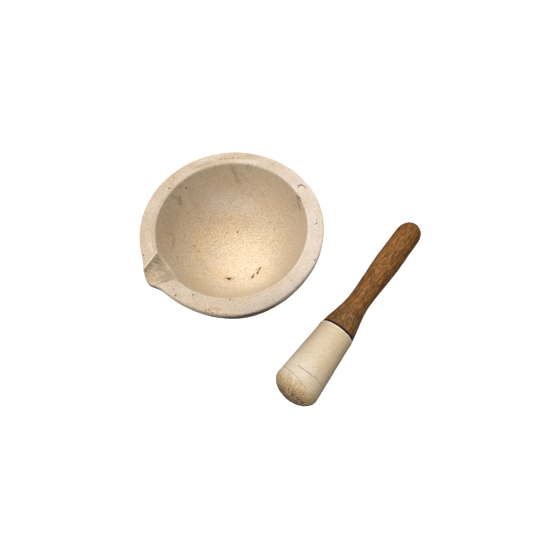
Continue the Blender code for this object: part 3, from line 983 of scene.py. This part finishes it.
def make_cement_mesh():
    inner_radius = TENON_RADIUS + GAP
    outer_radius = SOCKET_RADIUS - GAP
    inner_bottom = -TENON_LENGTH - GAP
    outer_bottom = -SOCKET_DEPTH + GAP
    inner = [(0.0, inner_bottom), (inner_radius, inner_bottom), (inner_radius, BEAD_HALF_THICKNESS)]
    bead = arc((BEAD_RADIUS - BEAD_HALF_THICKNESS, 0.0), (BEAD_HALF_THICKNESS,) * 2, 90, -90)
    outer = [(outer_radius, -BEAD_HALF_THICKNESS), (outer_radius, outer_bottom), (0.0, outer_bottom)]
    outline = respaced(inner + bead + outer, lambda radius, height: 0.4)
    outline[[0, -1], 0] = 0.0
    mesh = turned_piece("joint_cement_bead", outline, CEMENT_COLUMNS)
    points = mesh_vectors(mesh) / MM
    radius = np.hypot(points[:, 0], points[:, 1])
    squeezed = ramp(radius, SOCKET_RADIUS, BEAD_RADIUS)
    push = 1 - squeezed * 0.02 * (1 + layered_noise(points, 4.0, 141))
    points[:, :2] *= push[:, None]
    move_points(mesh, points * MM)
    return mesh


def pestle_rest():
    """Where the pestle lies: on the widest ring of its head and on the near end of its grip."""
    between = GRIP_END - HEAD_WIDEST_AT
    tilt = math.atan2(HEAD_WIDEST_RADIUS - GRIP_END_RADIUS, between)
    height = (HEAD_WIDEST_RADIUS * GRIP_END - GRIP_END_RADIUS * HEAD_WIDEST_AT) / between
    place = Vector((*PESTLE_PLACE, height * math.cos(tilt) + PESTLE_LIFT)) * MM
    turn = Matrix.Rotation(PESTLE_HEADING, 4, "Z") @ Matrix.Rotation(math.pi / 2 + tilt, 4, "Y")
    return Matrix.Translation(place) @ turn


# ---------------------------------------------------------------- materials


PICTURE_RIGHT = (0.81, -0.58, 0.0)  # the direction on the mortar that is to the photograph's right
HEAD_SHADED_SIDE = (-0.34, -0.94, 0.0)  # the side of the pestle's head, on its own axes, that is painted a darker, warmer brown as shade


class Shading:
    """A material's node tree, with short ways to add nodes that depend on the place on the piece."""

    def __init__(self, name):
        self.material = bpy.data.materials.new(name)
        self.material.use_nodes = True
        self.tree = self.material.node_tree
        self.shader = self.tree.nodes["Principled BSDF"]
        self.shader.inputs["Metallic"].default_value = 0.0
        self.place = self.add("ShaderNodeAttribute", {}, attribute_name="made_at").outputs["Vector"]

    def add(self, kind, inputs, **settings):
        node = self.tree.nodes.new(kind)
        for key, value in settings.items():
            setattr(node, key, value)
        for key, value in inputs.items():
            self.feed(node.inputs[key], value)
        return node

    def feed(self, socket, value):
        if isinstance(value, bpy.types.NodeSocket):
            self.tree.links.new(value, socket)
        else:
            socket.default_value = value

    def noise(self, size, detail=3.0, roughness=0.55, distortion=0.0, squeeze=1.0):
        """Noise from 0 to 1 with lumps about size millimetres across, and longer by 1 / squeeze on Z."""
        place = self.place
        if squeeze != 1.0:
            mapping = self.add("ShaderNodeMapping", {"Vector": place, "Scale": (1.0, 1.0, squeeze)})
            place = mapping.outputs["Vector"]
        inputs = {"Vector": place, "Scale": 1 / (size * MM), "Detail": detail}
        inputs.update({"Roughness": roughness, "Distortion": distortion})
        return self.add("ShaderNodeTexNoise", inputs).outputs["Fac"]

    def cells(self, size):
        """The distance to the nearest of points strewn about size millimetres apart, as a share of size."""
        inputs = {"Vector": self.place, "Scale": 1 / (size * MM)}
        return self.add("ShaderNodeTexVoronoi", inputs).outputs["Distance"]

    def stored(self, name):
        return self.add("ShaderNodeAttribute", {}, attribute_name=name).outputs["Fac"]

    def height(self):
        """The height of each place on its own piece, in metres."""
        return self.add("ShaderNodeSeparateXYZ", {"Vector": self.place}).outputs["Z"]

    def along(self, direction):
        """How far each place lies in a direction, in metres."""
        inputs = {0: self.place, 1: direction}
        return self.add("ShaderNodeVectorMath", inputs, operation="DOT_PRODUCT").outputs["Value"]

    def ramp(self, value, low, high, to_low=0.0, to_high=1.0):
        inputs = {"Value": value, "From Min": low, "From Max": high, "To Min": to_low, "To Max": to_high}
        node = self.add("ShaderNodeMapRange", inputs, interpolation_type="SMOOTHSTEP")
        return node.outputs["Result"]

    def math(self, operation, first, second):
        return self.add("ShaderNodeMath", {0: first, 1: second}, operation=operation).outputs["Value"]

    def product(self, first, second):
        return self.math("MULTIPLY", first, second)

    def mix(self, share, first, second):
        """Share of the way from the first colour to the second. A colour is a socket or three numbers."""
        node = self.add("ShaderNodeMix", {}, data_type="RGBA")
        self.feed(node.inputs["Factor"], share)
        sockets = [socket for socket in node.inputs if socket.type == "RGBA"]
        for socket, tone in zip(sockets, (first, second)):
            self.feed(socket, (*tone, 1.0) if isinstance(tone, tuple) else tone)
        return next(socket for socket in node.outputs if socket.type == "RGBA")

    def washed(self, tone, *washes):
        """Lays colours over the tone. Each covers nothing where its value is low, and most at high."""
        for value, low, high, most, tint in washes:
            tone = self.mix(self.ramp(value, low, high, 0.0, most), tone, tint)
        return tone

    def stained(self, tone, *stains):
        """Lays colours over the tone, each as strongly as the mesh's stored values say, times most."""
        for name, most, tint in stains:
            tone = self.mix(self.product(self.stored(name), most), tone, tint)
        return tone

    def surface(self, tone, roughness, bump_height, bump_distance, gloss):
        self.shader.inputs["Specular IOR Level"].default_value = gloss
        bump = self.add("ShaderNodeBump", {"Height": bump_height, "Distance": bump_distance * MM})
        self.feed(self.shader.inputs["Base Color"], tone)
        self.feed(self.shader.inputs["Roughness"], roughness)
        self.feed(self.shader.inputs["Normal"], bump.outputs["Normal"])
        return self.material


def rim_shade(look, clouds, side):
    """Cream, a little pink and paler on the side away from the spout."""
    blush = look.noise(9.0)
    tone = look.mix(look.ramp(side, 0.0, 0.062), (0.49, 0.395, 0.29), (0.595, 0.5, 0.412))
    tone = look.washed(
        tone,
        (clouds, 0.45, 0.62, 0.7, (0.5, 0.395, 0.275)),
        (clouds, 0.5, 0.38, 0.5, (0.6, 0.51, 0.42)),
        (blush, 0.5, 0.66, 0.5, (0.6, 0.44, 0.33)),
        (blush, 0.48, 0.34, 0.5, (0.54, 0.47, 0.33)),
        (side, 0.0, -0.045, 0.16, (0.34, 0.25, 0.16)),
        (side, 0.03, 0.06, 0.35, (0.64, 0.56, 0.51)),
    )
    # the stored tan is painted shade on the rim's near outer edge
    return look.stained(tone, ("tan", 0.7, (0.36, 0.3, 0.25)), ("ring", 0.5, (0.3, 0.225, 0.15)))


def bowl_shade(look, clouds, mottle, side):
    tone = look.mix(look.ramp(mottle, 0.35, 0.66), (0.625, 0.51, 0.37), (0.56, 0.445, 0.305))
    return look.washed(
        tone,
        (clouds, 0.47, 0.62, 0.65, (0.62, 0.46, 0.275)),
        (side, 0.02, 0.055, 0.7, (0.48, 0.365, 0.245)),
    )


def outside_shade(look, clouds, height):
    """The body, with painted shade under the rim and darker at the foot, and the paler side of the collar.
    """
    body = look.washed(
        look.mix(look.ramp(clouds, 0.4, 0.66), (0.56, 0.455, 0.345), (0.47, 0.37, 0.265)),
        # painted shade on the body under the collar's overhang
        (height, 0.062, 0.075, 0.5, (0.28, 0.22, 0.165)),
        (height, 0.012, 0.0, 0.5, (0.33, 0.27, 0.205)),
    )
    collar = look.mix(look.ramp(clouds, 0.4, 0.62), (0.64, 0.545, 0.43), (0.58, 0.475, 0.36))
    # the stored tan is painted shade on the near side of the collar
    collar = look.stained(collar, ("tan", 0.6, (0.48, 0.38, 0.27)))
    return look.mix(look.ramp(height, 0.0745, 0.0765), body, collar)


def trough_shade(look, mottle):
    tone = look.mix(look.ramp(mottle, 0.42, 0.58), (0.365, 0.27, 0.16), (0.265, 0.197, 0.118))
    return look.washed(tone, (look.noise(6.5, detail=2.0), 0.5, 0.62, 0.6, (0.48, 0.375, 0.265)))


def speckled(look, tone, grain, height):
    """Lays the dark and pale grain, weaker on the rim, and the rare brown specks over the tone."""
    grit = look.math("SUBTRACT", 1.0, look.product(look.stored("rim"), 0.15))
    grit = look.product(grit, look.ramp(height, 0.04, 0.07, 1.0, 0.6))
    dark_grain = look.product(look.ramp(grain, 0.5, 0.64, 0.0, 0.46), grit)
    pale_grain = look.product(look.ramp(grain, 0.5, 0.36, 0.0, 0.42), grit)
    tone = look.mix(dark_grain, tone, (0.33, 0.23, 0.14))
    tone = look.mix(pale_grain, tone, (0.78, 0.68, 0.54))
    rare = look.ramp(look.noise(5.0, detail=2.0), 0.5, 0.62)
    specks = look.product(look.ramp(look.cells(2.7), 0.24, 0.1), rare)
    return look.mix(look.product(specks, 0.42), tone, (0.23, 0.145, 0.075))


def stoneware():
    """Unglazed cream stoneware: pale and a little pink on the rim, tan and speckled in the bowl."""
    look = Shading("stoneware_worn")
    height = look.height()
    side = look.along(PICTURE_RIGHT)
    clouds = look.noise(24.0, detail=4.0, roughness=0.6)
    mottle = look.noise(5.5, detail=5.0, roughness=0.65)
    grain = look.noise(1.5, roughness=0.7)

    tone = outside_shade(look, clouds, height)
    tone = look.mix(look.stored("inside"), tone, bowl_shade(look, clouds, mottle, side))
    tone = look.mix(look.stored("rim"), tone, rim_shade(look, clouds, side))
    tone = look.mix(look.product(look.stored("trough"), 0.85), tone, trough_shade(look, mottle))
    tone = look.stained(
        tone,
        ("flank", 0.8, (0.41, 0.31, 0.2)),
        # a painted highlight along the sharp far edge of the trough
        ("crease_highlight", 1.0, (0.7, 0.6, 0.47)),
        # pale: pale patches on the rim, with painted highlights by the trough and pools of painted light in
        # the bowl
        ("pale", 1.0, (0.68, 0.595, 0.49)),
        ("amber", 1.0, (0.72, 0.53, 0.3)),
        ("ochre", 1.0, (0.43, 0.27, 0.11)),
        # dark streaks, with painted shade along the trough's edges
        ("smear_and_shade", 1.0, (0.225, 0.152, 0.088)),
        # painted shade low on the collar's near side and under the lip
        ("collar_shade", 1.0, (0.13, 0.096, 0.068)),
    )
    tone = speckled(look, tone, grain, height)
    tone = look.washed(tone, (look.stored("mark"), 0.0, 0.9, 0.92, (0.075, 0.04, 0.014)))
    roughness = look.ramp(mottle, 0.3, 0.7, 0.62, 0.82)
    bump = look.math("ADD", look.product(grain, 0.6), look.product(mottle, 1.5))
    return look.surface(tone, roughness, bump, 0.12, 0.2)


def head_stoneware():
    """Smoother cream stoneware, worn brown and pitted at the grinding end."""
    look = Shading("head_stoneware_worn")
    height = look.height()
    clouds = look.noise(15.0)
    mottle = look.noise(4.0, detail=4.0, roughness=0.65)
    grain = look.noise(1.5, roughness=0.7)
    blush = look.noise(6.5)
    tone = look.mix(look.ramp(clouds, 0.38, 0.62), (0.545, 0.44, 0.305), (0.515, 0.42, 0.3))
    tone = look.washed(
        tone,
        (blush, 0.5, 0.64, 0.5, (0.56, 0.425, 0.265)),
        (height, -0.03, -0.004, 0.6, (0.52, 0.405, 0.245)),
    )
    pale_band = look.product(look.ramp(height, -0.034, -0.046), look.ramp(height, -0.064, -0.055))
    tone = look.mix(look.product(pale_band, 0.75), tone, (0.58, 0.5, 0.4))
    tip_height = look.math("ADD", height, look.ramp(mottle, 0.25, 0.75, -0.0022, 0.0022))
    tip_height = look.math("ADD", tip_height, look.ramp(blush, 0.3, 0.7, -0.003, 0.003))
    tone = look.washed(
        tone,
        # painted shade on the side of the head away from the light
        (look.along(HEAD_SHADED_SIDE), 0.004, 0.02, 0.5, (0.56, 0.395, 0.205)),
        (tip_height, -0.058, -0.067, 0.85, (0.395, 0.255, 0.105)),
        (tip_height, -0.0685, -0.0755, 0.85, (0.14, 0.078, 0.026)),
        (grain, 0.5, 0.68, 0.3, (0.31, 0.225, 0.14)),
        (grain, 0.5, 0.34, 0.3, (0.7, 0.6, 0.46)),
    )
    tip = look.ramp(tip_height, -0.062, -0.07)
    crumbs = look.product(look.ramp(look.cells(2.1), 0.36, 0.18), tip)
    tone = look.mix(look.product(crumbs, 0.72), tone, (0.14, 0.08, 0.035))
    bright = look.product(look.ramp(look.cells(2.9), 0.3, 0.12), tip)
    tone = look.mix(look.product(bright, 0.4), tone, (0.56, 0.4, 0.22))
    tone = look.washed(
        tone,
        # a painted highlight along the rounded edge of the head's mouth
        (height, -0.003, -0.0014, 0.7, (0.78, 0.69, 0.55)),
        (look.stored("crack"), 0.1, 0.9, 0.62, (0.15, 0.105, 0.07)),
        (look.stored("pit"), 0.1, 0.8, 0.92, (0.05, 0.02, 0.006)),
    )
    roughness = look.ramp(mottle, 0.3, 0.7, 0.45, 0.62)
    return look.surface(tone, roughness, look.math("ADD", grain, mottle), 0.08, 0.3)


def hardwood():
    """Oiled and hand-worn hardwood with long streaks, short dark flecks and dark soot."""
    look = Shading("hardwood_worn")
    height = look.height()
    bands = look.noise(6.0, squeeze=0.12)
    streaks = look.noise(1.5, detail=4.0, roughness=0.65, distortion=0.4, squeeze=0.13)
    fibres = look.noise(0.85, roughness=0.6, distortion=0.3, squeeze=0.2)
    flecks = look.noise(1.3, detail=2.0, roughness=0.6, squeeze=0.4)
    clouds = look.noise(12.0, detail=4.0, roughness=0.6)
    tone = look.mix(look.ramp(bands, 0.38, 0.62), (0.215, 0.08, 0.014), (0.15, 0.055, 0.008))
    tone = look.washed(
        tone,
        (clouds, 0.5, 0.66, 0.55, (0.1, 0.039, 0.009)),
        (clouds, 0.48, 0.34, 0.5, (0.27, 0.104, 0.022)),
        (height, 0.036, 0.008, 0.7, (0.132, 0.076, 0.031)),
    )
    blush = look.product(look.ramp(height, 0.012, 0.003), look.ramp(clouds, 0.4, 0.6, 0.3, 0.8))
    tone = look.washed(
        look.mix(blush, tone, (0.19, 0.078, 0.036)),
        (streaks, 0.5, 0.62, 0.68, (0.075, 0.028, 0.007)),
        (streaks, 0.48, 0.35, 0.55, (0.35, 0.16, 0.046)),
        (fibres, 0.5, 0.62, 0.6, (0.075, 0.03, 0.008)),
        (fibres, 0.5, 0.38, 0.5, (0.345, 0.175, 0.066)),
        (flecks, 0.61, 0.7, 0.7, (0.048, 0.019, 0.006)),
        (look.stored("scuff"), 0.1, 0.9, 0.5, (0.33, 0.22, 0.12)),
    )
    tone = look.stained(tone, ("soot", 1.0, (0.032, 0.014, 0.006)))
    roughness = look.ramp(streaks, 0.3, 0.7, 0.42, 0.6)
    return look.surface(tone, roughness, look.math("ADD", streaks, look.product(fibres, 0.8)), 0.12, 0.12)


def cement():
    """Near-black cement, crumbly and dull."""
    look = Shading("cement_dark")
    lumps = look.noise(1.2, detail=4.0, roughness=0.7)
    tone = look.mix(look.ramp(lumps, 0.35, 0.7), (0.012, 0.008, 0.006), (0.034, 0.023, 0.016))
    return look.surface(tone, look.ramp(lumps, 0.3, 0.7, 0.75, 0.92), lumps, 0.15, 0.2)


def floor_paint():
    """The pale table that the set stands on."""
    look = Shading("pale_table")
    clouds = look.noise(60.0, detail=2.0)
    tone = look.mix(clouds, (0.925, 0.925, 0.925), (0.945, 0.945, 0.945))
    return look.surface(tone, look.ramp(clouds, 0.3, 0.7, 0.8, 0.9), clouds, 0.02, 0.1)


# ---------------------------------------------------------------- the pieces


def make_mortar():
    mesh = make_mortar_mesh()
    wear_mortar(mesh)
    return [add_piece("mortar_stoneware", mesh, stoneware(), "mortar", ["mortar"])]


def make_pestle():
    rest = pestle_rest()
    head = make_head_mesh()
    wear_head(head)
    handle = make_handle_mesh()
    wear_handle(handle)
    bead = make_cement_mesh()
    pieces = (
        ("pestle_head_stoneware", head, head_stoneware(), "head_stoneware", "pestle_head"),
        ("pestle_handle_wood", handle, hardwood(), "hardwood", "pestle_handle"),
        ("joint_cement_bead", bead, cement(), "cement", "joint_cement"),
    )
    made = []
    for name, mesh, material, slot, node in pieces:
        made.append(add_piece(name, mesh, material, "pestle", [node], rest))
    return made


# ---------------------------------------------------------------- the setting

# Fitted to the photograph: where the camera is, and which ways its picture's right and down point
CAMERA_PLACE = Vector((-65.06, -161.04, 389.81))
CAMERA_RIGHT = Vector((0.8128, -0.5826, -0.0035))
CAMERA_DOWN = Vector((-0.5424, -0.7544, -0.3698))
CAMERA_LENS = 27.06
FLOOR_SIZE = 40.0  # in metres, well past the backdrop
FLOOR_DROP = 0.1
BACKDROP_RADIUS = 11.0  # in metres
SKY_STRENGTH = 0.27
FILL_STRENGTH = 0.2  # light from below, in place of what the table would throw back
SIDE_STRENGTH = 1.2  # three low lamps round the mortar
KEY_STRENGTH = 3.75
LAMP_SPREAD = math.radians(50)  # how soft every lamp but the table's is
HORIZON_BLEND = 0.1  # how far above and below the horizon the sky and the fill run together
KEY_FROM = Vector((-0.086, 0.244, 0.966))  # towards the key lamp
SIDE_DIRECTIONS = (-15.0, 60.0, 160.0)
SIDE_RISE = -0.45  # the side lamps shine a little upward


def make_floor():
    mesh = bpy.data.meshes.new("table")
    half = FLOOR_SIZE / 2
    corners = [(-half, -half, 0.0), (half, -half, 0.0), (half, half, 0.0), (-half, half, 0.0)]
    mesh.from_pydata(corners, [], [(0, 1, 2, 3)])
    remember_points(mesh)
    mesh.materials.append(floor_paint())
    table = new_object("table", mesh)
    table.location.z = -FLOOR_DROP * MM
    hide_from_indirect(table)
    return table


def make_backdrop():
    """A white dome round the table, seen by the camera only."""
    mesh = bpy.data.meshes.new("backdrop")
    shape = bmesh.new()
    bmesh.ops.create_icosphere(shape, subdivisions=4, radius=BACKDROP_RADIUS)
    shape.to_mesh(mesh)
    shape.free()
    paper = bpy.data.materials.new("white_paper")
    paper.use_nodes = True
    tree = paper.node_tree
    tree.nodes.remove(tree.nodes["Principled BSDF"])
    glow = tree.nodes.new("ShaderNodeEmission")
    tree.links.new(glow.outputs["Emission"], tree.nodes["Material Output"].inputs["Surface"])
    mesh.materials.append(paper)
    backdrop = new_object("backdrop", mesh)
    backdrop.visible_shadow = False
    hide_from_indirect(backdrop)


def hide_from_indirect(thing):
    thing.visible_diffuse = False
    thing.visible_glossy = False


def make_sky():
    """An even white sky, and a weaker light from below the horizon."""
    world = bpy.data.worlds.new("studio")
    world.use_nodes = True
    tree = world.node_tree
    background = tree.nodes["Background"]
    background.inputs["Color"].default_value = (1.0, 1.0, 1.0, 1.0)
    way = tree.nodes.new("ShaderNodeTexCoord")
    split = tree.nodes.new("ShaderNodeSeparateXYZ")
    blend = tree.nodes.new("ShaderNodeMapRange")
    blend.inputs["From Min"].default_value = -HORIZON_BLEND
    blend.inputs["From Max"].default_value = HORIZON_BLEND
    blend.inputs["To Min"].default_value = FILL_STRENGTH
    blend.inputs["To Max"].default_value = SKY_STRENGTH
    tree.links.new(way.outputs["Generated"], split.inputs["Vector"])
    tree.links.new(split.outputs["Z"], blend.inputs["Value"])
    tree.links.new(blend.outputs["Result"], background.inputs["Strength"])
    bpy.context.scene.world = world


def group(name, things):
    """A collection that a lamp can be told to light."""
    collection = bpy.data.collections.new(name)
    for thing in things:
        collection.objects.link(thing)
    return collection


def make_lights(table, pieces):
    """A soft key light whose shadows fall on the pieces and not the table, and low lamps round the
    mortar, which the pestle doesn't block."""
    pieces_only = group("lit_pieces", pieces)
    mortar_only = group("lit_mortar", pieces[:1])
    add_sun("key", KEY_FROM, KEY_STRENGTH, pieces_only, LAMP_SPREAD)
    # A soft lamp is partly blocked even when it casts no shadows, so the table's lamp is sharp.
    table_key = add_sun("table_key", KEY_FROM, KEY_STRENGTH, group("lit_table", [table]), 0.0)
    table_key.data.use_shadow = False
    for number, direction in enumerate(SIDE_DIRECTIONS):
        angle = math.radians(direction)
        source = Vector((math.cos(angle), math.sin(angle), SIDE_RISE))
        lamp = add_sun(f"side_{number}", source, SIDE_STRENGTH, mortar_only, LAMP_SPREAD)
        lamp.light_linking.blocker_collection = mortar_only


def add_sun(name, source, strength, lit, spread):
    light = bpy.data.lights.new(name, "SUN")
    light.energy = strength
    light.angle = spread
    lamp = new_object(name, light)
    lamp.rotation_euler = source.to_track_quat("Z", "Y").to_euler()
    lamp.light_linking.receiver_collection = lit
    return lamp


def make_camera():
    camera = bpy.data.cameras.new("camera")
    camera.lens = CAMERA_LENS
    camera.clip_start = 0.01
    forward = CAMERA_DOWN.cross(CAMERA_RIGHT) * -1
    axes = Matrix((CAMERA_RIGHT, -CAMERA_DOWN, -forward)).transposed().to_4x4()
    viewer = new_object("camera", camera)
    viewer.matrix_world = Matrix.Translation(CAMERA_PLACE * MM) @ axes
    bpy.context.scene.camera = viewer


shown = make_mortar() + make_pestle()
make_sky()
make_lights(make_floor(), shown)
make_backdrop()
make_camera()
bpy.context.scene.view_settings.view_transform = "Standard"
